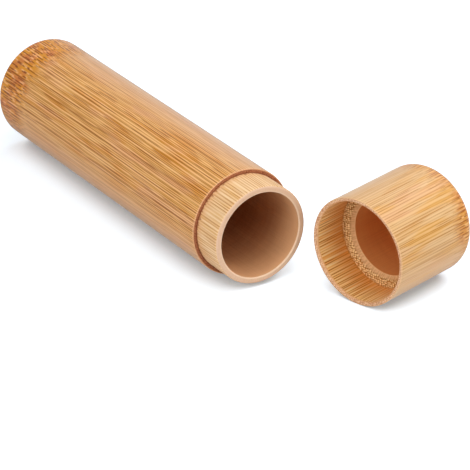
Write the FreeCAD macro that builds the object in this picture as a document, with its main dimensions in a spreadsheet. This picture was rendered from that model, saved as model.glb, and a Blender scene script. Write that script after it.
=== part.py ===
import FreeCAD, Part
import os
import Sketcher

# A round bamboo canister in two turned pieces, opened and lying on its side.
# The tube lies along X with its mouth towards +X, and the cap lies beside the mouth, turned away from it.
# The floor is at Z = 0, and the origin is below the middle of the two pieces together.

# Driving sizes in millimetres, with one angle in degrees.
SIZES = [
    ("outer_diameter", 46.0),
    ("tube_length", 162.0),
    ("base_thickness", 6.0),
    ("base_rounding", 3.0),
    ("hollow_rounding", 6.0),
    ("neck_length", 14.6),
    ("shoulder_width", 1.85),
    ("neck_wall", 2.65),
    ("lip_rounding", 0.9),
    ("lip_inner_rounding", 0.5),
    ("edge_rounding", 0.3),
    ("cap_length", 46.0),
    ("cap_clearance", 0.1),
    ("cap_lead_in", 1.1),
    ("cap_end_space", 1.4),
    ("cap_ledge_width", 4.95),
    ("cap_ledge_bevel", 2.0),
    ("cap_top_thickness", 6.0),
    ("cap_top_rounding", 5.0),
    ("cap_hollow_rounding", 5.0),
    ("cap_lead", 11.7),
    ("cap_aside", 17.5),
    ("cap_turn", 105.4),
]

doc = FreeCAD.newDocument("bamboo_tea_box")
sheet = doc.addObject("Spreadsheet::Sheet", "sizes")
for row, (alias, value) in enumerate(SIZES, 1):
    sheet.set("A%d" % row, alias)
    sheet.set("B%d" % row, str(value))
    sheet.setAlias("B%d" % row, alias)
doc.recompute()

# Sizes that follow from the driving ones, as expressions of the sheet's cells.
OUTER_RADIUS = "sizes.outer_diameter / 2"
NECK_RADIUS = "(sizes.outer_diameter / 2 - sizes.shoulder_width)"
HOLLOW_RADIUS = "(sizes.outer_diameter / 2 - sizes.shoulder_width - sizes.neck_wall)"
TUBE_WHOLE_LENGTH = "(sizes.tube_length + sizes.neck_length)"
SOCKET_RADIUS = "(sizes.outer_diameter / 2 - sizes.shoulder_width + sizes.cap_clearance)"
SOCKET_DEPTH = "(sizes.neck_length + sizes.cap_end_space)"
RECESS_RADIUS = "(" + SOCKET_RADIUS + " - sizes.cap_ledge_width)"
CAP_HOLLOW_DEPTH = "(sizes.cap_length - sizes.cap_top_thickness)"
RIM_WALL = "(sizes.shoulder_width - sizes.cap_clearance)"
LEAD_IN = "min(sizes.cap_lead_in; " + RIM_WALL + " - 2 * sizes.edge_rounding)"


def value_of(expression):
    """The number that an expression of the sheet's cells comes to."""
    return float(sheet.evalExpression(expression))


def origin_feature(body, role):
    """One of a body's own origin planes or axes."""
    return next(f for f in body.Origin.OriginFeatures if f.Role == role)


def profile(body, name, from_x, to_x, from_radius, to_radius):
    """A rectangle between two stations along the body's X axis and two radii, for turning about that axis."""
    sketch = body.newObject("Sketcher::SketchObject", name)
    sketch.AttachmentSupport = [(origin_feature(body, "XY_Plane"), "")]
    sketch.MapMode = "FlatFace"
    near, far = value_of(from_x), value_of(to_x)
    low, high = value_of(from_radius), value_of(to_radius)
    corners = [
        FreeCAD.Vector(near, low, 0),
        FreeCAD.Vector(far, low, 0),
        FreeCAD.Vector(far, high, 0),
        FreeCAD.Vector(near, high, 0),
    ]
    for i in range(4):
        sketch.addGeometry(Part.LineSegment(corners[i], corners[(i + 1) % 4]), False)
    for i in range(4):
        sketch.addConstraint(Sketcher.Constraint("Coincident", i, 2, (i + 1) % 4, 1))
    for i, direction in enumerate(("Horizontal", "Vertical", "Horizontal", "Vertical")):
        sketch.addConstraint(Sketcher.Constraint(direction, i))
    stations = (
        ("from_x", "DistanceX", 0, near, from_x),
        ("to_x", "DistanceX", 2, far, to_x),
        ("from_radius", "DistanceY", 0, low, from_radius),
        ("to_radius", "DistanceY", 2, high, to_radius),
    )
    for label, kind, line, number, expression in stations:
        if number == 0:
            axis = -2 if kind == "DistanceX" else -1
            sketch.addConstraint(Sketcher.Constraint("PointOnObject", line, 1, axis))
        else:
            index = sketch.addConstraint(Sketcher.Constraint(kind, -1, 1, line, 1, number))
            sketch.renameConstraint(index, label)
            sketch.setExpression("Constraints." + label, expression)
    return sketch


def turned(body, kind, name, *stations):
    """A full turn of a rectangle about the body's X axis, added as a Revolution or cut as a Groove."""
    sketch = profile(body, name + "_profile", *stations)
    doc.recompute()
    before = body.Shape.Volume if body.Tip else 0
    feature = body.newObject("PartDesign::" + kind, name)
    feature.Profile = sketch
    feature.ReferenceAxis = (sketch, ["H_Axis"])
    feature.Angle = 360.0
    doc.recompute()
    gained = feature.Shape.Volume - before
    if (kind == "Groove") == (gained > -1):
        raise RuntimeError("%s of %s changes its volume by %.3f" % (name, body.Label, gained))
    return feature


def eased(body, kind, name, station, radius, size):
    """A Fillet or a Chamfer on the circular edge at a station along the body's X axis."""
    base = body.Tip
    at, across = value_of(station), value_of(radius)
    edges = []
    for number, edge in enumerate(base.Shape.Edges, 1):
        if isinstance(edge.Curve, Part.Circle):
            centre = edge.Curve.Center
            if abs(centre.x - at) < 0.01 and abs(edge.Curve.Radius - across) < 0.01:
                edges.append("Edge%d" % number)
    feature = body.newObject("PartDesign::" + kind, name)
    feature.Base = (base, edges)
    measure = "Radius" if kind == "Fillet" else "Size"
    setattr(feature, measure, value_of(size))
    feature.setExpression(measure, size)
    doc.recompute()
    return feature


# The tube: a turned blank with the neck turned down at its mouth and one deep hollow, closed by the node.
tube = doc.addObject("PartDesign::Body", "tube")
tube.Label = "tube"
turned(tube, "Revolution", "tube_blank", "0", TUBE_WHOLE_LENGTH, "0", OUTER_RADIUS)
turned(tube, "Groove", "neck", "sizes.tube_length", TUBE_WHOLE_LENGTH, NECK_RADIUS, OUTER_RADIUS)
turned(tube, "Groove", "hollow", "sizes.base_thickness", TUBE_WHOLE_LENGTH, "0", HOLLOW_RADIUS)
eased(tube, "Fillet", "base_edge", "0", OUTER_RADIUS, "sizes.base_rounding")
eased(tube, "Fillet", "hollow_end", "sizes.base_thickness", HOLLOW_RADIUS, "sizes.hollow_rounding")
eased(tube, "Fillet", "shoulder_edge", "sizes.tube_length", OUTER_RADIUS, "sizes.edge_rounding")
eased(tube, "Fillet", "lip_outside", TUBE_WHOLE_LENGTH, NECK_RADIUS, "sizes.lip_rounding")
eased(tube, "Fillet", "lip_inside", TUBE_WHOLE_LENGTH, HOLLOW_RADIUS, "sizes.lip_inner_rounding")

# The cap: its mouth is at its own X = 0, with a socket for the neck, a ledge, and a narrower hollow beyond.
cap = doc.addObject("PartDesign::Body", "cap")
cap.Label = "cap"
turned(cap, "Revolution", "cap_blank", "0", "sizes.cap_length", "0", OUTER_RADIUS)
turned(cap, "Groove", "socket", "0", SOCKET_DEPTH, "0", SOCKET_RADIUS)
turned(cap, "Groove", "recess", SOCKET_DEPTH, CAP_HOLLOW_DEPTH, "0", RECESS_RADIUS)
eased(cap, "Fillet", "top_edge", "sizes.cap_length", OUTER_RADIUS, "sizes.cap_top_rounding")
eased(cap, "Fillet", "recess_end", CAP_HOLLOW_DEPTH, RECESS_RADIUS, "sizes.cap_hollow_rounding")
eased(cap, "Chamfer", "ledge_bevel", SOCKET_DEPTH, RECESS_RADIUS, "sizes.cap_ledge_bevel")
eased(cap, "Fillet", "rim_outside", "0", OUTER_RADIUS, "sizes.edge_rounding")
eased(cap, "Fillet", "rim_inside", "0", SOCKET_RADIUS, LEAD_IN)

# Where the pieces lie, measured from the middle of the tube's base on the floor.
# The cap's rim comes nearest to the tube at a point that lies ahead of the lip and aside from the tube's axis.
TURN_COS = "cos(sizes.cap_turn)"
TURN_SIN = "sin(sizes.cap_turn)"
CAP_X = "(" + TUBE_WHOLE_LENGTH + " + sizes.cap_lead + " + OUTER_RADIUS + " * " + TURN_SIN + ")"
CAP_Y = "(sizes.cap_aside - " + OUTER_RADIUS + " * " + TURN_COS + ")"

# The far reach of the lying cap: its rim towards +X, and its rounded top edge towards +Y.
REACH_X = (
    "(" + CAP_X + " + sizes.edge_rounding * (1 + " + TURN_COS + ")"
    " + (" + OUTER_RADIUS + " - sizes.edge_rounding) * " + TURN_SIN + ")"
)
REACH_Y = (
    "(" + CAP_Y + " + (sizes.cap_length - sizes.cap_top_rounding) * " + TURN_SIN + ""
    " - (" + OUTER_RADIUS + " - sizes.cap_top_rounding) * " + TURN_COS + " + sizes.cap_top_rounding)"
)
MIDDLE_X = REACH_X + " / 2"
MIDDLE_Y = "(" + REACH_Y + " - " + OUTER_RADIUS + ") / 2"

tube.setExpression("Placement.Base.x", "-" + MIDDLE_X)
tube.setExpression("Placement.Base.y", "-" + MIDDLE_Y)
tube.setExpression("Placement.Base.z", OUTER_RADIUS)
cap.Placement = FreeCAD.Placement(FreeCAD.Vector(0, 0, 0), FreeCAD.Rotation(FreeCAD.Vector(0, 0, 1), 1))
cap.setExpression("Placement.Rotation.Angle", "sizes.cap_turn")
cap.setExpression("Placement.Base.x", CAP_X + " - " + MIDDLE_X)
cap.setExpression("Placement.Base.y", CAP_Y + " - " + MIDDLE_Y)
cap.setExpression("Placement.Base.z", OUTER_RADIUS)
doc.recompute()

pieces = [tube, cap]
for thing in doc.Objects:
    if "Invalid" in thing.State or "Error" in thing.State:
        raise RuntimeError("%s failed: %s" % (thing.Label, thing.State))
for piece in pieces:
    if piece.Shape.isNull() or not piece.Shape.isValid():
        raise RuntimeError("%s has no valid shape" % piece.Label)

os.makedirs("parts", exist_ok=True)
for piece in pieces:
    piece.Shape.exportStep("parts/%s.step" % piece.Label)
    box = piece.Shape.optimalBoundingBox()
    print(
        "%s: %.1f cm3, x %.2f to %.2f, y %.2f to %.2f, z %.2f to %.2f"
        % (piece.Label, piece.Shape.Volume / 1000, box.XMin, box.XMax, box.YMin, box.YMax, box.ZMin, box.ZMax)
    )
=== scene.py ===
import bpy
import math
import numpy as np
from mathutils import Matrix, Vector


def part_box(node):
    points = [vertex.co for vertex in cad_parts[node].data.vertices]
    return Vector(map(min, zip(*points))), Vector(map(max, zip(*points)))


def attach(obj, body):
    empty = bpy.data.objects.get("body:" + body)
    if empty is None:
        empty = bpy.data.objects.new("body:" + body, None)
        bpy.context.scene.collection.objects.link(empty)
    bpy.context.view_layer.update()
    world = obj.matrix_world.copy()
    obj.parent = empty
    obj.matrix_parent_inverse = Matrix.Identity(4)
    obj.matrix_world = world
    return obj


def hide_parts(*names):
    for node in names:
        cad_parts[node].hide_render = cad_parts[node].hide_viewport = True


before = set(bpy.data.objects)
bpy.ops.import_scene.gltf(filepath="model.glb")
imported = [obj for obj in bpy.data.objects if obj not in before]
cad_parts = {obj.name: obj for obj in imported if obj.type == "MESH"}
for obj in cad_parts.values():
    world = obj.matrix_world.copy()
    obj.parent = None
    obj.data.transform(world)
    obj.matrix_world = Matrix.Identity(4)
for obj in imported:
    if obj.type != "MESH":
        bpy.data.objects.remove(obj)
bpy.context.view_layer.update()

# The scene is in metres, and all sizes and places up to the stage are in millimetres.
MM_PER_M = 1000

# Sizes of the two turned pieces, as in the solids.
OUTER_R = 23.0
TUBE_LENGTH = 162.0
NECK_LENGTH = 14.6
NECK_R = 21.15
HOLLOW_R = 18.5
BASE_THICKNESS = 6.0
CAP_LENGTH = 46.0
SOCKET_R = 21.25
SOCKET_DEPTH = 16.0
RECESS_R = 16.3
CAP_LEAD_IN = 1.1
LEDGE_BEVEL = 2.0
CAP_TOP_THICKNESS = 6.0
LIP_AT = TUBE_LENGTH + NECK_LENGTH

# Roundings, and the angle in degrees round the lip at which its outer side ends.
BASE_ROUND = 3.0
EDGE_ROUND = 0.3
LIP_ROUND = 0.9
LIP_INNER_ROUND = 0.5
HOLLOW_ROUND = 6.0
CAP_TOP_ROUND = 5.0
CAP_HOLLOW_ROUND = 5.0
LIP_SPLIT = 36

# Places of the two axes: the tube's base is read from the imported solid, and the cap's mouth follows from it.
CAP_TURN = math.radians(105.4)
CAP_LEAD = 11.7
CAP_ASIDE = 17.5
tube_low, tube_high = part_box("tube")
tube_middle = (tube_low + tube_high) / 2
BASE_CENTRE = Vector((tube_low.x, tube_middle.y, tube_middle.z)) * MM_PER_M
LIP_CENTRE = BASE_CENTRE + Vector((LIP_AT, 0, 0))
MOUTH_CENTRE = LIP_CENTRE + Vector((
    CAP_LEAD + OUTER_R * math.sin(CAP_TURN),
    CAP_ASIDE - OUTER_R * math.cos(CAP_TURN),
    0,
))

# Zones of a piece, in the order of its materials.
SKIN, END_GRAIN, NECK, LIP, HOLLOW, CLOSED_END = range(6)

# Spacing of the points along a profile's straights.
EDGE_STEP = 0.3
NECK_STEP = 0.7
SOCKET_STEP = 0.8
RECESS_STEP = 1.0
CAP_STEP = 1.5
END_STEP = 1.5
FLOOR_STEP = 2.0
TUBE_STEP = 4.0


# Profiles. Each is a list of runs: a zone and points of (along the axis, radius).
def straight(start, end, step):
    """Points along a straight, about a step apart."""
    count = max(1, round(math.dist(start, end) / step))
    across, rise = end[0] - start[0], end[1] - start[1]
    return [(start[0] + across * i / count, start[1] + rise * i / count) for i in range(count + 1)]


def arc(centre, radius, start, end, steps):
    """Points round a centre, between two angles in degrees from the outward direction."""
    turns = [math.radians(start + (end - start) * i / steps) for i in range(steps + 1)]
    return [(centre[0] + radius * math.sin(turn), centre[1] + radius * math.cos(turn)) for turn in turns]


def tube_profile():
    """From the middle of the base round the outside, over the lip and down the hollow."""
    base_turn = (BASE_ROUND, OUTER_R - BASE_ROUND)
    edge_turn = (TUBE_LENGTH - EDGE_ROUND, OUTER_R - EDGE_ROUND)
    lip_turn = (LIP_AT - LIP_ROUND, NECK_R - LIP_ROUND)
    inner_turn = (LIP_AT - LIP_INNER_ROUND, HOLLOW_R + LIP_INNER_ROUND)
    floor_turn = (BASE_THICKNESS + HOLLOW_ROUND, HOLLOW_R - HOLLOW_ROUND)
    return [
        (CLOSED_END, straight((0, 0), (0, base_turn[1]), END_STEP)),
        (SKIN, arc(base_turn, BASE_ROUND, -90, 0, steps=14)),
        (SKIN, straight((base_turn[0], OUTER_R), (edge_turn[0], OUTER_R), TUBE_STEP)),
        (SKIN, arc(edge_turn, EDGE_ROUND, 0, 90, steps=4)),
        (END_GRAIN, straight((TUBE_LENGTH, edge_turn[1]), (TUBE_LENGTH, NECK_R), EDGE_STEP)),
        (NECK, straight((TUBE_LENGTH, NECK_R), (lip_turn[0], NECK_R), NECK_STEP)),
        (NECK, arc(lip_turn, LIP_ROUND, 0, LIP_SPLIT, steps=4)),
        (LIP, arc(lip_turn, LIP_ROUND, LIP_SPLIT, 90, steps=6)),
        (LIP, straight((LIP_AT, lip_turn[1]), (LIP_AT, inner_turn[1]), EDGE_STEP)),
        (LIP, arc(inner_turn, LIP_INNER_ROUND, 90, 180, steps=6)),
        (HOLLOW, straight((inner_turn[0], HOLLOW_R), (floor_turn[0], HOLLOW_R), TUBE_STEP)),
        (HOLLOW, arc(floor_turn, HOLLOW_ROUND, 0, -90, steps=10)),
        (HOLLOW, straight((BASE_THICKNESS, floor_turn[1]), (BASE_THICKNESS, 0), FLOOR_STEP)),
    ]


def cap_profile():
    """From the middle of the top round the outside, over the rim, along the socket and into the recess."""
    inner_top = CAP_LENGTH - CAP_TOP_THICKNESS
    top_turn = (CAP_LENGTH - CAP_TOP_ROUND, OUTER_R - CAP_TOP_ROUND)
    edge_turn = (EDGE_ROUND, OUTER_R - EDGE_ROUND)
    lead_turn = (CAP_LEAD_IN, SOCKET_R + CAP_LEAD_IN)
    bevel_start = (SOCKET_DEPTH, RECESS_R + LEDGE_BEVEL)
    bevel_end = (SOCKET_DEPTH + LEDGE_BEVEL, RECESS_R)
    recess_turn = (inner_top - CAP_HOLLOW_ROUND, RECESS_R - CAP_HOLLOW_ROUND)
    return [
        (CLOSED_END, straight((CAP_LENGTH, 0), (CAP_LENGTH, top_turn[1]), END_STEP)),
        (SKIN, arc(top_turn, CAP_TOP_ROUND, 90, 0, steps=18)),
        (SKIN, straight((top_turn[0], OUTER_R), (edge_turn[0], OUTER_R), CAP_STEP)),
        (SKIN, arc(edge_turn, EDGE_ROUND, 0, -90, steps=4)),
        (LIP, straight((0, edge_turn[1]), (0, lead_turn[1]), EDGE_STEP)),
        (LIP, arc(lead_turn, CAP_LEAD_IN, -90, -180, steps=8)),
        (NECK, straight((lead_turn[0], SOCKET_R), (SOCKET_DEPTH, SOCKET_R), SOCKET_STEP)),
        (END_GRAIN, straight((SOCKET_DEPTH, SOCKET_R), bevel_start, EDGE_STEP)),
        (END_GRAIN, straight(bevel_start, bevel_end, EDGE_STEP)),
        (HOLLOW, straight(bevel_end, (recess_turn[0], RECESS_R), RECESS_STEP)),
        (HOLLOW, arc(recess_turn, CAP_HOLLOW_ROUND, 0, 90, steps=10)),
        (HOLLOW, straight((inner_top, recess_turn[1]), (inner_top, 0), FLOOR_STEP)),
    ]


# Turning. A piece lies a little inside its solid, slightly out of round, with fibre relief on its sides.
AROUND = 576
TOUCHING = 1e-6
INSET = 0.06
OUT_OF_ROUND = 0.035
ROUND_WAVES = (2, 3, 4)
ROUND_SWING = 0.02
FIBRE_RELIEF = 0.012
FIBRE_WAVES = range(60, 240, 3)
SHARP_EDGE = math.radians(42)


def smooth_noise(rng, count, waves):
    """A closed ring of smooth random numbers with a deviation of about 1."""
    turn = np.arange(count) * 2 * math.pi / count
    total = np.zeros(count)
    for wave in waves:
        total += np.cos(wave * turn + rng.uniform(0, 2 * math.pi)) * rng.normal(0, 1)
    return total / max(total.std(), 1e-9)


def profile_rows(runs):
    """The points of all runs in a row, each with its zone, without the doubled ends."""
    rows = []
    for zone, points in runs:
        for point in points:
            if rows and math.dist(rows[-1][1], point) < TOUCHING:
                continue
            rows.append((zone, point))
    return rows


def ring_faces(rows, starts):
    """The faces between each ring of points and the next, and the zone of each face."""
    faces, zones = [], []
    for (_, near), (zone, far), first, second in zip(rows, rows[1:], starts, starts[1:]):
        for here in range(AROUND):
            beside = (here + 1) % AROUND
            if near[1] < TOUCHING:
                faces.append((first, second + beside, second + here))
            elif far[1] < TOUCHING:
                faces.append((first + here, first + beside, second))
            else:
                faces.append((first + here, first + beside, second + beside, second + here))
            zones.append(zone)
    return faces, zones


def turn_piece(name, runs, origin, heading, materials, seed):
    """Turns a profile into a closed mesh, and keeps the piece's own coordinates as an attribute."""
    rng = np.random.default_rng(seed)
    angles = np.arange(AROUND) * 2 * math.pi / AROUND
    out_of_round = smooth_noise(rng, AROUND, ROUND_WAVES)
    fibres = smooth_noise(rng, AROUND, FIBRE_WAVES)
    axis = Vector((math.cos(heading), math.sin(heading), 0))
    side = Vector((-math.sin(heading), math.cos(heading), 0))
    rows = profile_rows(runs)
    verts, grain, starts = [], [], []
    for zone, (along, radius) in rows:
        starts.append(len(verts))
        if radius < TOUCHING:
            verts.append(origin + axis * along)
            grain.append((0, 0, along))
            continue
        drift = OUT_OF_ROUND * out_of_round * math.cos(along * ROUND_SWING) - INSET
        relief = FIBRE_RELIEF * fibres if zone in (SKIN, NECK) else 0 * fibres
        ring = radius + (drift + relief) * min(1.0, radius / OUTER_R)
        for angle, r in zip(angles, ring):
            x, y = r * math.cos(angle), r * math.sin(angle)
            verts.append(origin + axis * along + side * x + Vector((0, 0, y)))
            grain.append((x, y, along))
    faces, zones = ring_faces(rows, starts)
    mesh = bpy.data.meshes.new(name)
    mesh.from_pydata([v / MM_PER_M for v in verts], [], faces)
    mesh.polygons.foreach_set("material_index", zones)
    mesh.polygons.foreach_set("use_smooth", [True] * len(faces))
    layer = mesh.attributes.new("grain", "FLOAT_VECTOR", "POINT")
    layer.data.foreach_set("vector", np.array(grain, dtype=np.float32).ravel())
    mesh.update()
    mesh.validate()
    mesh.set_sharp_from_angle(angle=SHARP_EDGE)
    for material in materials:
        mesh.materials.append(material)
    piece = bpy.data.objects.new(name, mesh)
    bpy.context.scene.collection.objects.link(piece)
    return piece


# Materials. Scales of noise are waves a millimetre.
def linear(red, green, blue):
    """A colour of 0 to 255 as the shader's linear numbers."""
    parts = []
    for value in (red, green, blue):
        share = value / 255
        parts.append(share / 12.92 if share <= 0.04045 else ((share + 0.055) / 1.055) ** 2.4)
    return (*parts, 1.0)


# How far an offset of 1 moves a material's noise, and how far it moves its lines around the piece.
NOISE_SHIFT = (1.0, 0.7, 2.3)
LINE_SHIFT = 31.0
# Slow sway of the lines along the piece.
SWAY = 0.9
SWAY_SCALE = (0.04, 0.04, 0.012)
# Levels of noise between which a lane drifts from 0 to 1, and the spread that parts the lanes in that noise.
DRIFT_LOW, DRIFT_HIGH = 0.28, 0.72
LANE_SPREAD = 400.0
# Across a lane: shares of its width at which a line starts and is full, and shares of the pitch for a thread.
CORE_START, CORE_FULL = 0.75, 0.3
BETWEEN_START, BETWEEN_FULL = 0.26, 0.46
# Along a lane: levels of drift at which lines, threads and strands start and are full.
# A strand's share is taken off its two levels.
LINES_START, LINES_FULL = 0.05, 0.75
THREADS_START, THREADS_FULL = 1.0, 0.3
STRANDS_START, STRANDS_FULL = 0.8, 1.2
# Bundle ends: how unevenly they are set, and the distances at which a dot starts and is full.
DOT_SCATTER = 0.45
DOT_START, DOT_FULL = 0.58, 0.26
# Strength of the faintest dot, and the share of the dots that are less than full.
DOT_FAINTEST = 0.45
FAINT_DOTS = 0.6
# Shine of all surfaces, and the depth of the relief in metres.
SPECULAR = 0.22
SHEEN_ROUGHNESS = 0.3
SHEEN_TINT = (1.0, 0.9, 0.82, 1)
RELIEF_DEPTH = 0.0001


class Graph:
    """A few short calls to build a material's nodes on the bamboo's own coordinates."""

    def __init__(self, name, offset):
        self.material = bpy.data.materials.new(name)
        self.material.use_nodes = True
        self.tree = self.material.node_tree
        self.shader = next(node for node in self.tree.nodes if node.type == "BSDF_PRINCIPLED")
        grain = self.node("ShaderNodeAttribute", attribute_name="grain").outputs["Vector"]
        split = self.node("ShaderNodeSeparateXYZ")
        self.put(split.inputs[0], grain)
        x, y, self.along = split.outputs
        self.radius = self.math("SQRT", self.math("MULTIPLY_ADD", x, x, self.math("MULTIPLY", y, y)))
        self.place = self.vector("ADD", grain, tuple(offset * part for part in NOISE_SHIFT))
        # The side unrolled: millimetres around, with the sway, and along. Its seam lies underneath.
        self.turn = self.math("ARCTAN2", x, y)
        around = self.math("MULTIPLY_ADD", self.turn, OUTER_R, offset * LINE_SHIFT)
        sway = self.level(self.place, SWAY_SCALE, detail=1.0)
        self.around = self.math("MULTIPLY_ADD", sway, SWAY, around)
        self.flat = self.join(self.around, self.along, 0.0)

    def put(self, socket, value):
        """Links or sets a socket."""
        if isinstance(value, bpy.types.NodeSocket):
            self.tree.links.new(value, socket)
        else:
            socket.default_value = value

    def node(self, kind, **settings):
        made = self.tree.nodes.new(kind)
        for key, value in settings.items():
            setattr(made, key, value)
        return made

    def math(self, operation, a, b=0.0, c=0.0):
        made = self.node("ShaderNodeMath", operation=operation)
        for socket, value in zip(made.inputs, (a, b, c)):
            self.put(socket, value)
        return made.outputs[0]

    def vector(self, operation, a, b):
        made = self.node("ShaderNodeVectorMath", operation=operation)
        self.put(made.inputs[0], a)
        self.put(made.inputs[1], b)
        return made.outputs[0]

    def join(self, x, y, z):
        made = self.node("ShaderNodeCombineXYZ")
        for socket, value in zip(made.inputs, (x, y, z)):
            self.put(socket, value)
        return made.outputs[0]

    def ramp(self, value, start, full, at_start=0.0, at_full=1.0):
        """A smooth step from one level to another, over a value that may rise or fall."""
        made = self.node("ShaderNodeMapRange", interpolation_type="SMOOTHSTEP")
        self.put(made.inputs["Value"], value)
        self.put(made.inputs["From Min"], start)
        self.put(made.inputs["From Max"], full)
        self.put(made.inputs["To Min"], at_start)
        self.put(made.inputs["To Max"], at_full)
        return made.outputs[0]

    def inside(self, radius, outward, inward):
        """A soft edge at a radius, which starts outward of it and is full inward of it."""
        return self.ramp(self.radius, radius + outward, radius - inward)

    def outside(self, radius, inward, outward):
        """A soft edge at a radius, which starts inward of it and is full outward of it."""
        return self.ramp(self.radius, radius - inward, radius + outward)

    def away_from(self, place):
        """Millimetres along the piece from a place."""
        return self.math("ABSOLUTE", self.math("SUBTRACT", self.along, place))

    def mix(self, factor, a, b):
        made = self.node("ShaderNodeMix", data_type="RGBA", clamp_factor=True)
        self.put(made.inputs["Factor"], factor)
        self.put(made.inputs[6], a)
        self.put(made.inputs[7], b)
        return made.outputs[2]

    def paint(self, colour, mask, share, tone):
        """Lays a tone over a colour where a mask says so, at a share of its strength."""
        return self.mix(self.math("MULTIPLY", mask, share), colour, tone)

    def tones(self, value, colours):
        """A run of colours, evenly spaced over a value of 0 to 1."""
        made = self.node("ShaderNodeValToRGB")
        stops = made.color_ramp.elements
        while len(stops) < len(colours):
            stops.new(0.5)
        for i, colour in enumerate(colours):
            stops[i].position = i / (len(colours) - 1)
            stops[i].color = colour
        self.put(made.inputs[0], value)
        return made.outputs[0]

    def level(self, place, scale, detail=2.0, roughness=0.5):
        """Soft noise around 0.5, at a scale for each axis."""
        made = self.node("ShaderNodeTexNoise", noise_dimensions="3D")
        self.put(made.inputs["Vector"], self.vector("MULTIPLY", place, scale))
        made.inputs["Scale"].default_value = 1.0
        made.inputs["Detail"].default_value = detail
        made.inputs["Roughness"].default_value = roughness
        return made.outputs[0]

    def patches(self, scale, start, full):
        """Soft patches of 0 to 1, taken out of noise between two levels."""
        return self.ramp(self.level(self.place, scale, detail=3.0), start, full)

    def cells(self, kind, socket, place, scatter):
        """Random cells: the distance from each one's middle, and random numbers of each."""
        made = self.node("ShaderNodeTexVoronoi", voronoi_dimensions=kind, feature="F1")
        self.put(made.inputs[socket], place)
        made.inputs["Scale"].default_value = 1.0
        made.inputs["Randomness"].default_value = scatter
        each = self.node("ShaderNodeSeparateColor")
        self.put(each.inputs[0], made.outputs["Color"])
        return made.outputs["Distance"], each.outputs

    def lanes(self, pitch, run, scatter=0.85):
        """Lanes along the piece: how far from each one's middle, and a level that drifts along it."""
        away, each = self.cells("1D", "W", self.math("DIVIDE", self.around, pitch), scatter)
        own = self.math("MULTIPLY", each[0], LANE_SPREAD)
        other = self.math("MULTIPLY", each[1], LANE_SPREAD)
        spot = self.join(own, self.math("DIVIDE", self.along, run), other)
        drift = self.ramp(self.level(spot, (1.0, 1.0, 1.0), detail=1.0), DRIFT_LOW, DRIFT_HIGH)
        return self.math("MULTIPLY", away, pitch), drift

    def stripes(self, pitch, run):
        """Fibres side by side, each with its own tone of 0 to 1, drifting along it."""
        return self.lanes(pitch, run)[1]

    def strands(self, pitch, width, run, share=0.5):
        """Thin lines along the piece, each of which shows over a share of its length."""
        away, drift = self.lanes(pitch, run)
        core = self.ramp(away, width * CORE_START, width * CORE_FULL)
        return self.math("MULTIPLY", core, self.ramp(drift, STRANDS_START - share, STRANDS_FULL - share))

    def bundles(self, pitch, width, run, least, scatter):
        """Lines with pale threads between them, which fade along the piece to a least strength."""
        away, drift = self.lanes(pitch, run, scatter)
        core = self.ramp(away, width * CORE_START, width * CORE_FULL)
        between = self.ramp(away, pitch * BETWEEN_START, pitch * BETWEEN_FULL)
        lined = self.ramp(drift, LINES_START, LINES_FULL, at_start=least)
        threaded = self.ramp(drift, THREADS_START, THREADS_FULL, at_start=least)
        return self.math("MULTIPLY", core, lined), self.math("MULTIPLY", between, threaded)

    def dots(self, pitch):
        """Cut bundle ends, some fainter than others."""
        spread = self.vector("MULTIPLY", self.place, (1 / pitch, 1 / pitch, 0))
        middle, each = self.cells("2D", "Vector", spread, DOT_SCATTER)
        strength = self.ramp(each[0], 0.0, FAINT_DOTS, at_start=DOT_FAINTEST)
        return self.math("MULTIPLY", self.ramp(middle, DOT_START, DOT_FULL), strength)

    def finish(self, colour, roughness, height, relief, sheen=0.0):
        """Colour, a roughness that follows the fibres, and relief in the shader."""
        self.put(self.shader.inputs["Base Color"], colour)
        self.put(self.shader.inputs["Roughness"], roughness)
        self.shader.inputs["Specular IOR Level"].default_value = SPECULAR
        self.shader.inputs["Sheen Weight"].default_value = sheen
        self.shader.inputs["Sheen Roughness"].default_value = SHEEN_ROUGHNESS
        self.shader.inputs["Sheen Tint"].default_value = SHEEN_TINT
        bumped = self.node("ShaderNodeBump")
        bumped.inputs["Strength"].default_value = relief
        bumped.inputs["Distance"].default_value = RELIEF_DEPTH
        self.put(bumped.inputs["Height"], height)
        self.put(self.shader.inputs["Normal"], bumped.outputs[0])
        return self.material


# The strongly lined side lies this far round from the top, and so does its opposite from the bottom.
LINED_SIDE = math.radians(-50.0)
# The change in the strength of lines and dots where a face is calm.
CALMING = -0.6
# How deep a line is cut into the relief of its stripe.
LINE_DEPTH = -0.6
# Millimetres by which noise moves the starts of the lines and the edge of the node band,
# and the step back before that.
LINES_RAGGED = 34.0
BAND_RAGGED = 10.0
BAND_WAVE = 20.0
BAND_BACK = 15.0


def skin_ground(graph, tone, stripe):
    """Striped fibres, with patches of gold and blush."""
    colour = graph.tones(stripe, [tone["shade"], tone["ground"], tone["pale"]])
    gold = graph.patches(scale=(0.3, 0.3, 0.035), start=0.48, full=0.64)
    blush = graph.patches(scale=(0.13, 0.13, 0.03), start=0.52, full=0.68)
    colour = graph.paint(colour, gold, 0.9, tone["gold"])
    return graph.paint(colour, blush, 0.65, tone["blush"])


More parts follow.
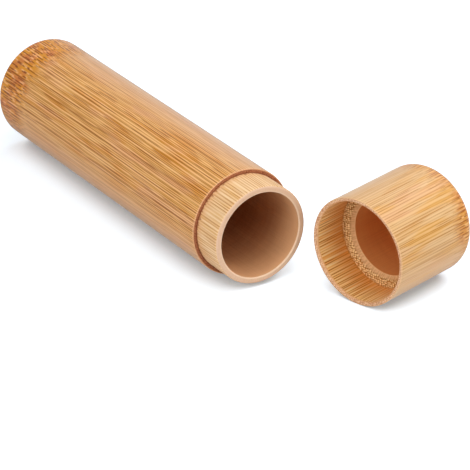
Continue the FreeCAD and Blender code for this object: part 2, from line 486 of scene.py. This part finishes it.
def skin_lines(graph, tone, colour, pitch, shown, lively):
    """Fine lines with pale threads between, a few strong lines, and short ones near the node."""
    lined = graph.math("MULTIPLY", shown, lively)
    lines, threads = graph.bundles(pitch, width=0.26, run=18.0, least=0.35, scatter=0.6)
    lines = graph.math("MULTIPLY", lines, lined)
    threads = graph.math("MULTIPLY", threads, lively)
    strong = graph.math("MULTIPLY", graph.strands(pitch=1.7, width=0.3, run=26.0), lined)
    short = graph.strands(pitch=1.0, width=0.4, run=5.0)
    short = graph.math("MULTIPLY", short, graph.math("SUBTRACT", 1.0, shown))
    colour = graph.paint(colour, threads, 0.5, tone["thread"])
    colour = graph.paint(colour, lines, 0.76, tone["line"])
    colour = graph.paint(colour, strong, 0.95, tone["line"])
    return graph.paint(colour, short, 0.7, tone["line"]), lines


def node_band(graph, tone, colour, from_end, ragged, band, cover):
    """A ragged stretch of gold and salmon with short dashes, beside the closed end."""
    wave = graph.level(graph.place, (0.07, 0.07, 0.02))
    edge = graph.math("MULTIPLY_ADD", wave, BAND_WAVE, band - BAND_BACK)
    edge = graph.math("MULTIPLY_ADD", ragged, BAND_RAGGED, edge)
    node = graph.ramp(graph.math("SUBTRACT", edge, from_end), start=-5.0, full=5.0)
    covered = graph.patches(scale=(0.22, 0.22, 0.12), start=0.62 - cover, full=0.76 - cover)
    node = graph.math("MULTIPLY", node, covered)
    gold = graph.patches(scale=(0.2, 0.2, 0.14), start=0.36, full=0.56)
    pale = graph.strands(pitch=1.3, width=0.56, run=5.0)
    dashes = graph.strands(pitch=1.05, width=0.46, run=4.2, share=0.6)
    knot = graph.mix(gold, tone["node"], tone["node_gold"])
    knot = graph.paint(knot, pale, 0.75, tone["node_pale"])
    knot = graph.paint(knot, dashes, 0.95, tone["node_dark"])
    return graph.mix(node, colour, knot)


def skin(name, tone, pitch, end_at, side, band, cover, highlight_at, offset):
    """The turned outside: brown lines on striped fibres, which break up into short dashes at the node."""
    graph = Graph(name, offset)
    from_end = graph.math("MULTIPLY_ADD", graph.along, side, end_at)
    stripe = graph.stripes(pitch=0.6, run=30.0)
    colour = skin_ground(graph, tone, stripe)
    # Two opposite sides are strongly lined. Between them the lines are calmed and a paler tone is laid on:
    # painted sheen.
    lobes = graph.math("COSINE", graph.math("MULTIPLY_ADD", graph.turn, 2.0, -2.0 * LINED_SIDE))
    calm = graph.ramp(lobes, start=0.5, full=-0.6)
    lively = graph.math("MULTIPLY_ADD", calm, CALMING, 1.0)
    colour = graph.paint(colour, calm, 0.6, tone["painted_sheen"])
    # Near the node the lines start at uneven distances.
    ragged = graph.level(graph.flat, (0.9, 0.03, 0.0), detail=1.0)
    begin = graph.math("MULTIPLY_ADD", ragged, LINES_RAGGED, band - BAND_BACK)
    shown = graph.ramp(graph.math("SUBTRACT", from_end, begin), start=-3.0, full=5.0, at_start=0.15)
    colour, lines = skin_lines(graph, tone, colour, pitch, shown, lively)
    colour = node_band(graph, tone, colour, from_end, ragged, band, cover)
    # The rounding at the closed end gets a darker tone: painted shade.
    cut = graph.ramp(from_end, start=1.7, full=0.6)
    # The arris of the mouth end gets a paler tone: a painted highlight.
    arris_highlight = graph.ramp(graph.away_from(highlight_at), start=0.75, full=0.1)
    colour = graph.paint(colour, cut, 0.45, tone["cut"])
    colour = graph.paint(colour, arris_highlight, 0.5, tone["arris_highlight"])
    height = graph.math("MULTIPLY_ADD", lines, LINE_DEPTH, stripe)
    roughness = graph.ramp(stripe, start=0.0, full=1.0, at_start=0.56, at_full=0.42)
    return graph.finish(colour, roughness, height, relief=0.2, sheen=1.0)


# Millimetres by which noise moves the torn ends at the root of a cut side,
# and the step back before that.
TORN_RAGGED = 6.0
TORN_BACK = 2.4


def cut_side(name, tone, pitch, width, root_at, root_reach, offset):
    """The sides turned through the wall: a pale ground with distinct brown bundle lines."""
    graph = Graph(name, offset)
    narrow = graph.math("MULTIPLY", graph.stripes(pitch=0.7, run=30.0), 0.6)
    stripe = graph.math("MULTIPLY_ADD", graph.stripes(pitch=1.9, run=40.0), 0.4, narrow)
    colour = graph.tones(stripe, [tone["shade"], tone["ground"], tone["pale"]])
    gold = graph.patches(scale=(0.3, 0.3, 0.05), start=0.5, full=0.68)
    fine = graph.strands(pitch=0.6, width=0.26, run=20.0)
    lines, threads = graph.bundles(pitch, width, run=26.0, least=0.15, scatter=0.5)
    colour = graph.paint(colour, gold, 0.5, tone["gold"])
    colour = graph.paint(colour, fine, 0.35, tone["line"])
    colour = graph.paint(colour, threads, 0.7, tone["thread"])
    colour = graph.paint(colour, lines, 0.8, tone["line"])
    # Towards the root the tone deepens, painted shade in the corner at the shoulder and down the socket, and
    # torn fibre ends leave a ragged edge in the corner.
    depth = graph.away_from(root_at)
    deep = graph.ramp(depth, start=root_reach, full=0.0)
    ragged = graph.level(graph.flat, (0.7, 0.0, 0.0), detail=1.0)
    torn = graph.math("MULTIPLY_ADD", ragged, TORN_RAGGED, -TORN_BACK)
    root = graph.ramp(graph.math("SUBTRACT", torn, depth), start=-0.2, full=0.3)
    colour = graph.paint(colour, deep, 0.55, tone["deep"])
    colour = graph.paint(colour, root, 0.75, tone["root"])
    height = graph.math("MULTIPLY_ADD", lines, LINE_DEPTH, stripe)
    roughness = graph.ramp(stripe, start=0.0, full=1.0, at_start=0.58, at_full=0.44)
    return graph.finish(colour, roughness, height, relief=0.2, sheen=0.25)


def end_grain(name, tone, pitch, calm_r, inner_r, outer_r, offset):
    """Cut ends: the bundles show as dots, scrapes cross the calm inner part, and the inner and outer edges
    take their own tones.
    """
    graph = Graph(name, offset)
    mottle = graph.patches(scale=(0.5, 0.5, 0.5), start=0.35, full=0.65)
    calm = graph.inside(calm_r, outward=0.6, inward=0.4)
    dots = graph.math("MULTIPLY", graph.dots(pitch), graph.math("MULTIPLY_ADD", calm, CALMING, 1.0))
    scrapes = graph.math("MULTIPLY", graph.strands(pitch=1.1, width=0.5, run=30.0, share=0.7), calm)
    inner = graph.inside(inner_r, outward=0.5, inward=0.1)
    outer = graph.outside(outer_r, inward=0.35, outward=0.1)
    colour = graph.mix(mottle, tone["ground"], tone["shade"])
    colour = graph.mix(dots, colour, tone["dot"])
    colour = graph.paint(colour, calm, 0.75, tone["inner"])
    colour = graph.paint(colour, scrapes, 0.3, tone["shade"])
    # On the shoulder the inner tone is painted shade in the corner at the neck, and the outer tone is a
    # painted highlight on the arris.
    colour = graph.paint(colour, inner, 0.8, tone["inner"])
    colour = graph.paint(colour, outer, 0.7, tone["outer"])
    roughness = graph.ramp(dots, start=0.0, full=1.0, at_start=0.62, at_full=0.5)
    return graph.finish(colour, roughness, dots, relief=0.3)


# Millimetres by which noise moves the edge of a node's heart.
HEART_WAVE = 2.4


def closed_end(name, tone, heart_r, offset):
    """A closed end: the culm's wall as a ring of dots around the smoother heart of the node."""
    graph = Graph(name, offset)
    mottle = graph.patches(scale=(0.4, 0.4, 0.4), start=0.35, full=0.65)
    wall = graph.mix(mottle, tone["ground"], tone["shade"])
    wall = graph.mix(graph.dots(pitch=0.9), wall, tone["dot"])
    veins = graph.level(graph.place, (0.35, 0.35, 0.35), detail=4.0, roughness=0.6)
    heart = graph.mix(graph.ramp(veins, start=0.4, full=0.62), tone["heart"], tone["fleck"])
    wave = graph.level(graph.place, (0.25, 0.25, 0.25), detail=3.0)
    edge = graph.math("MULTIPLY_ADD", wave, HEART_WAVE, heart_r - HEART_WAVE / 2)
    inward = graph.math("SUBTRACT", edge, graph.radius)
    seam = graph.ramp(graph.math("ABSOLUTE", inward), start=1.0, full=0.1)
    colour = graph.mix(graph.ramp(inward, start=-0.4, full=0.6), wall, heart)
    colour = graph.paint(colour, seam, 0.4, tone["seam"])
    height = graph.math("SUBTRACT", veins, seam)
    roughness = graph.ramp(veins, start=0.3, full=0.7, at_start=0.5, at_full=0.62)
    return graph.finish(colour, roughness, height, relief=0.25, sheen=0.15)


# How far the tone of a mouth reaches along a smooth face. In the tube's hollow it is painted light near the
# opening.
MOUTH_REACH = 34.0


def smooth(name, tone, rim_r, mouth_at, offset):
    """Scraped and sanded faces: soft streaks, faint turning rings, fine speckle, a tone at the mouth that is
    painted light in the tube's hollow, and a paler tone at the rim's radius that is a painted highlight on the
    lip.
    """
    graph = Graph(name, offset)
    speckle = graph.level(graph.place, (2.0, 2.0, 1.2), detail=3.0, roughness=0.6)
    rings = graph.level(graph.place, (0.05, 0.05, 0.9))
    bands = graph.level(graph.place, (0.3, 0.3, 0.02))
    blend = graph.math("MULTIPLY", bands, 0.35)
    blend = graph.math("MULTIPLY_ADD", rings, 0.3, blend)
    blend = graph.math("MULTIPLY_ADD", speckle, 0.35, blend)
    streaks = graph.strands(pitch=1.3, width=0.6, run=40.0)
    # Towards the mouth the tone turns to the mouth's. In the tube's hollow this is paler, painted light at the
    # opening, with painted shade deeper in.
    mouth = graph.ramp(graph.away_from(mouth_at), start=MOUTH_REACH, full=0.0)
    # A paler tone at the rim's radius: on the lip, a painted highlight along its inner edge.
    rim = graph.inside(rim_r, outward=0.3, inward=0.1)
    colour = graph.mix(graph.ramp(blend, start=0.38, full=0.62), tone["shade"], tone["ground"])
    colour = graph.paint(colour, streaks, 0.3, tone["streak"])
    colour = graph.paint(colour, mouth, 0.7, tone["mouth"])
    colour = graph.paint(colour, rim, 0.85, tone["rim"])
    roughness = graph.ramp(speckle, start=0.3, full=0.7, at_start=0.5, at_full=0.62)
    return graph.finish(colour, roughness, blend, relief=0.15)


# Tones of every surface.
TUBE_SKIN = {
    "shade": linear(220, 158, 78),
    "ground": linear(225, 166, 90),
    "pale": linear(230, 175, 103),
    "line": linear(150, 76, 2),
    "thread": linear(255, 212, 158),
    "gold": linear(218, 146, 52),
    "blush": linear(222, 160, 112),
    "painted_sheen": linear(222, 173, 132),
    "node": linear(206, 122, 58),
    "node_gold": linear(218, 144, 36),
    "node_pale": linear(244, 190, 130),
    "node_dark": linear(134, 56, 0),
    "cut": linear(132, 92, 66),
    "arris_highlight": linear(236, 186, 146),
}
CAP_SKIN = {
    "shade": linear(216, 169, 112),
    "ground": linear(221, 178, 125),
    "pale": linear(226, 186, 135),
    "line": linear(186, 124, 52),
    "thread": linear(240, 200, 144),
    "gold": linear(222, 164, 84),
    "blush": linear(224, 166, 120),
    "painted_sheen": linear(226, 182, 134),
    "node": linear(212, 140, 74),
    "node_gold": linear(216, 150, 66),
    "node_pale": linear(246, 196, 128),
    "node_dark": linear(168, 90, 26),
    "cut": linear(168, 130, 98),
    "arris_highlight": linear(240, 194, 150),
}
TUBE_NECK = {
    "shade": linear(228, 180, 124),
    "ground": linear(239, 197, 146),
    "pale": linear(248, 212, 166),
    "line": linear(190, 124, 54),
    "thread": linear(252, 218, 174),
    "gold": linear(234, 180, 104),
    "deep": linear(226, 174, 120),
    "root": linear(160, 94, 52),
}
CAP_SOCKET = {
    "shade": linear(252, 184, 96),
    "ground": linear(255, 202, 120),
    "pale": linear(255, 220, 146),
    "line": linear(162, 84, 4),
    "thread": linear(255, 238, 184),
    "gold": linear(246, 172, 76),
    "deep": linear(232, 148, 60),
    "root": linear(206, 136, 68),
}
# The shoulder's inner tone is painted shade in the corner at the neck, and its outer tone is a painted
# highlight on the arris.
TUBE_SHOULDER = {
    "ground": linear(160, 94, 62),
    "shade": linear(134, 74, 46),
    "dot": linear(192, 128, 90),
    "inner": linear(124, 66, 40),
    "outer": linear(222, 166, 122),
}
CAP_LEDGE = {
    "ground": linear(184, 118, 56),
    "shade": linear(168, 104, 44),
    "dot": linear(255, 220, 158),
    "inner": linear(246, 200, 146),
    "outer": linear(220, 158, 92),
}
CAP_RIM = {
    "ground": linear(210, 152, 110),
    "shade": linear(192, 130, 92),
    "dot": linear(244, 202, 160),
    "inner": linear(238, 186, 128),
    "outer": linear(156, 118, 92),
}
TUBE_LIP = {
    "ground": linear(234, 198, 166),
    "shade": linear(222, 182, 150),
    "streak": linear(190, 146, 108),
    "mouth": linear(230, 192, 160),
    "rim": linear(250, 220, 188),
}
# The hollow is paler towards the mouth, painted light at the opening, and darker deeper in, painted shade.
TUBE_HOLLOW = {
    "ground": linear(206, 148, 102),
    "shade": linear(192, 132, 88),
    "streak": linear(172, 114, 72),
    "mouth": linear(232, 182, 134),
    "rim": linear(244, 212, 178),
}
CAP_RECESS = {
    "ground": linear(226, 158, 94),
    "shade": linear(214, 142, 82),
    "streak": linear(176, 106, 54),
    "mouth": linear(228, 162, 98),
    "rim": linear(222, 150, 86),
}
TUBE_BASE = {
    "ground": linear(190, 122, 64),
    "shade": linear(164, 98, 48),
    "dot": linear(232, 182, 122),
    "heart": linear(214, 156, 98),
    "fleck": linear(196, 130, 72),
    "seam": linear(140, 78, 34),
}
CAP_TOP = {
    "ground": linear(220, 156, 90),
    "shade": linear(202, 134, 72),
    "dot": linear(244, 198, 140),
    "heart": linear(236, 180, 118),
    "fleck": linear(220, 156, 92),
    "seam": linear(150, 88, 40),
}

# Lengths on a skin run from its node: onward from the tube's base, and backward from the cap's top.
ONWARD, BACKWARD = 1.0, -1.0
# How far inside the hollow a node's heart ends, and the widths of the edges: the painted highlight on the lip,
# the scraped part of the ledge, the painted shade in the shoulder's corner, the painted highlight on its arris
# and the rim's darker outer edge.
HEART_INSET = 2.0
LIP_HIGHLIGHT = 0.35
LEDGE_SCRAPE = 1.2
SHOULDER_SHADE = 0.1
SHOULDER_HIGHLIGHT = 0.35
RIM_DARK_EDGE = 0.2
# The radius of an edge that a face doesn't have.
NO_EDGE = 0.0

tube_materials = [
    skin("tube_skin", TUBE_SKIN, pitch=0.8, end_at=0.0, side=ONWARD,
         band=20.5, cover=0.38, highlight_at=TUBE_LENGTH, offset=0.0),
    end_grain("tube_shoulder", TUBE_SHOULDER, pitch=0.6, calm_r=NO_EDGE,
              inner_r=NECK_R + SHOULDER_SHADE, outer_r=OUTER_R - SHOULDER_HIGHLIGHT, offset=3.0),
    cut_side("tube_neck", TUBE_NECK, pitch=1.3, width=0.36,
             root_at=TUBE_LENGTH, root_reach=5.0, offset=7.0),
    smooth("tube_lip", TUBE_LIP, rim_r=HOLLOW_R + LIP_HIGHLIGHT, mouth_at=LIP_AT, offset=11.0),
    smooth("tube_hollow", TUBE_HOLLOW, rim_r=NO_EDGE, mouth_at=LIP_AT, offset=17.0),
    closed_end("tube_base", TUBE_BASE, heart_r=HOLLOW_R - HEART_INSET, offset=21.0),
]
cap_materials = [
    skin("cap_skin", CAP_SKIN, pitch=1.15, end_at=CAP_LENGTH, side=BACKWARD,
         band=8.5, cover=0.34, highlight_at=0.0, offset=40.0),
    end_grain("cap_ledge", CAP_LEDGE, pitch=0.95, calm_r=RECESS_R + LEDGE_SCRAPE,
              inner_r=RECESS_R, outer_r=SOCKET_R, offset=43.0),
    cut_side("cap_socket", CAP_SOCKET, pitch=1.2, width=0.42,
             root_at=SOCKET_DEPTH, root_reach=14.0, offset=47.0),
    end_grain("cap_rim", CAP_RIM, pitch=0.8, calm_r=NO_EDGE,
              inner_r=SOCKET_R, outer_r=OUTER_R - RIM_DARK_EDGE, offset=51.0),
    smooth("cap_recess", CAP_RECESS, rim_r=NO_EDGE, mouth_at=SOCKET_DEPTH, offset=57.0),
    closed_end("cap_top", CAP_TOP, heart_r=RECESS_R - HEART_INSET, offset=61.0),
]

tube = turn_piece("bamboo_tube", tube_profile(), BASE_CENTRE, 0.0, tube_materials, seed=11)
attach(tube, "tube")
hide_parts("tube")
cap = turn_piece("bamboo_cap", cap_profile(), MOUTH_CENTRE, CAP_TURN, cap_materials, seed=23)
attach(cap, "cap")
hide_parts("cap")


# Stage: a floor, a white world, softboxes and the camera, in metres.
def add_node(tree, kind, **values):
    """A node with some of its sockets set."""
    made = tree.nodes.new(kind)
    for socket, value in values.items():
        made.inputs[socket].default_value = value
    return made


# Floor: the paper's colour to the pieces and to the camera, and how far it reaches each way.
PAPER = (0.84, 0.85, 0.87, 1)
PAPER_SEEN = (0.64, 0.77, 0.9, 1)
FLOOR_REACH = 4.0
# How near a piece shades the paper, the open shares of sky between which its glow rises, and that glow.
SHADE_REACH = 0.04
OPEN_LOW, OPEN_HIGH = 0.1, 0.5
GLOW_LOW, GLOW_HIGH = 0.15, 0.56


def paper_material():
    """Pale paper that lights the pieces plainly, and is white to the camera where nothing shades it."""
    paper = bpy.data.materials.new("paper")
    paper.use_nodes = True
    tree = paper.node_tree
    tree.nodes.clear()
    plain = add_node(tree, "ShaderNodeBsdfDiffuse", Color=PAPER)
    seen = add_node(tree, "ShaderNodeBsdfDiffuse", Color=PAPER_SEEN)
    near = add_node(tree, "ShaderNodeAmbientOcclusion", Distance=SHADE_REACH)
    spread = tree.nodes.new("ShaderNodeMapRange")
    spread.interpolation_type = "SMOOTHSTEP"
    spread.inputs["From Min"].default_value = OPEN_LOW
    spread.inputs["From Max"].default_value = OPEN_HIGH
    spread.inputs["To Min"].default_value = GLOW_LOW
    spread.inputs["To Max"].default_value = GLOW_HIGH
    glow = tree.nodes.new("ShaderNodeEmission")
    both = tree.nodes.new("ShaderNodeAddShader")
    path = tree.nodes.new("ShaderNodeLightPath")
    choose = tree.nodes.new("ShaderNodeMixShader")
    out = tree.nodes.new("ShaderNodeOutputMaterial")
    tree.links.new(near.outputs["AO"], spread.inputs["Value"])
    tree.links.new(spread.outputs[0], glow.inputs["Strength"])
    tree.links.new(seen.outputs[0], both.inputs[0])
    tree.links.new(glow.outputs[0], both.inputs[1])
    tree.links.new(path.outputs["Is Camera Ray"], choose.inputs[0])
    tree.links.new(plain.outputs[0], choose.inputs[1])
    tree.links.new(both.outputs[0], choose.inputs[2])
    tree.links.new(choose.outputs[0], out.inputs["Surface"])
    return paper


floor_mesh = bpy.data.meshes.new("floor")
corners = [(x * FLOOR_REACH, y * FLOOR_REACH, 0) for x, y in ((-1, -1), (1, -1), (1, 1), (-1, 1))]
floor_mesh.from_pydata(corners, [], [(0, 1, 2, 3)])
floor_mesh.materials.append(paper_material())
floor = bpy.data.objects.new("floor", floor_mesh)
bpy.context.scene.collection.objects.link(floor)

# World: the colour and strength of its soft fill.
FILL = (0.97, 0.98, 1.0, 1)
FILL_STRENGTH = 0.08


def studio_world():
    """White to the camera and to reflections, and a soft fill for the rest."""
    world = bpy.data.worlds.new("studio")
    world.use_nodes = True
    tree = world.node_tree
    tree.nodes.clear()
    fill = add_node(tree, "ShaderNodeBackground", Color=FILL, Strength=FILL_STRENGTH)
    white = add_node(tree, "ShaderNodeBackground", Strength=1.0)
    path = tree.nodes.new("ShaderNodeLightPath")
    seen = tree.nodes.new("ShaderNodeMath")
    seen.operation = "MAXIMUM"
    choose = tree.nodes.new("ShaderNodeMixShader")
    out = tree.nodes.new("ShaderNodeOutputWorld")
    tree.links.new(path.outputs["Is Camera Ray"], seen.inputs[0])
    tree.links.new(path.outputs["Is Glossy Ray"], seen.inputs[1])
    tree.links.new(seen.outputs[0], choose.inputs[0])
    tree.links.new(fill.outputs[0], choose.inputs[1])
    tree.links.new(white.outputs[0], choose.inputs[2])
    tree.links.new(choose.outputs[0], out.inputs["Surface"])
    return world


bpy.context.scene.world = studio_world()

# Softboxes around the pieces: turn from the camera's side and height, both in degrees, and power.
CAMERA_SIDE = -32.2
LAMP_REACH = 1.45
LAMP_SIZE = 0.85
SOFTBOXES = {
    "left": (-45, 22, 7.5),
    "right": (45, 22, 5.2),
    "front": (0, 52, 4.7),
    "far_right": (90, 52, 6.1),
    "far_side": (150, 40, 5.2),
    "top": (0, 88, 4.7),
}
for name, (turn, height, power) in SOFTBOXES.items():
    lamp = bpy.data.lights.new(name, "AREA")
    lamp.shape = "DISK"
    lamp.size = LAMP_SIZE
    lamp.energy = power
    box = bpy.data.objects.new(name, lamp)
    bpy.context.scene.collection.objects.link(box)
    compass = math.radians(CAMERA_SIDE + turn)
    lift = math.radians(height)
    box.location = LAMP_REACH * Vector((
        math.cos(compass) * math.cos(lift),
        math.sin(compass) * math.cos(lift),
        math.sin(lift),
    ))
    box.rotation_euler = (-box.location).to_track_quat("-Z", "Y").to_euler()

# Camera: the photograph's viewing angle, fitted to the rims and outlines. The distance is in outer radii, and
# the focal length in pixels of the picture. Both are longer than fitted by the same share.
AZIMUTH = math.radians(57.76)
ELEVATION = math.radians(26.42)
ROLL = math.radians(-0.49)
LONGER = 1.045
DISTANCE_RADII = 57.955
FOCAL_PIXELS = 3203
PICTURE_PIXELS = 470
SENSOR_WIDTH = 36.0
FAR_CLIP = 50.0
# The point looked at, in millimetres from the middle of the lip.
LOOK_FROM_LIP = Vector((-45.0, 16.2, -OUTER_R))
look_at = (LIP_CENTRE + LOOK_FROM_LIP) / MM_PER_M
distance = LONGER * DISTANCE_RADII * OUTER_R / MM_PER_M
back = Vector((
    math.sin(AZIMUTH) * math.cos(ELEVATION),
    -math.cos(AZIMUTH) * math.cos(ELEVATION),
    math.sin(ELEVATION),
))
sideways = Vector((math.cos(AZIMUTH), math.sin(AZIMUTH), 0))
upward = back.cross(sideways)
right = sideways * math.cos(ROLL) + upward * math.sin(ROLL)
upright = -sideways * math.sin(ROLL) + upward * math.cos(ROLL)
lens = bpy.data.cameras.new("camera")
lens.sensor_width = SENSOR_WIDTH
lens.lens = SENSOR_WIDTH * LONGER * FOCAL_PIXELS / PICTURE_PIXELS
lens.clip_end = FAR_CLIP
camera = bpy.data.objects.new("camera", lens)
bpy.context.scene.collection.objects.link(camera)
turned = Matrix((right, upright, back)).transposed().to_4x4()
turned.translation = look_at + back * distance
camera.matrix_world = turned
bpy.context.scene.camera = camera
bpy.context.scene.view_settings.view_transform = "Standard"
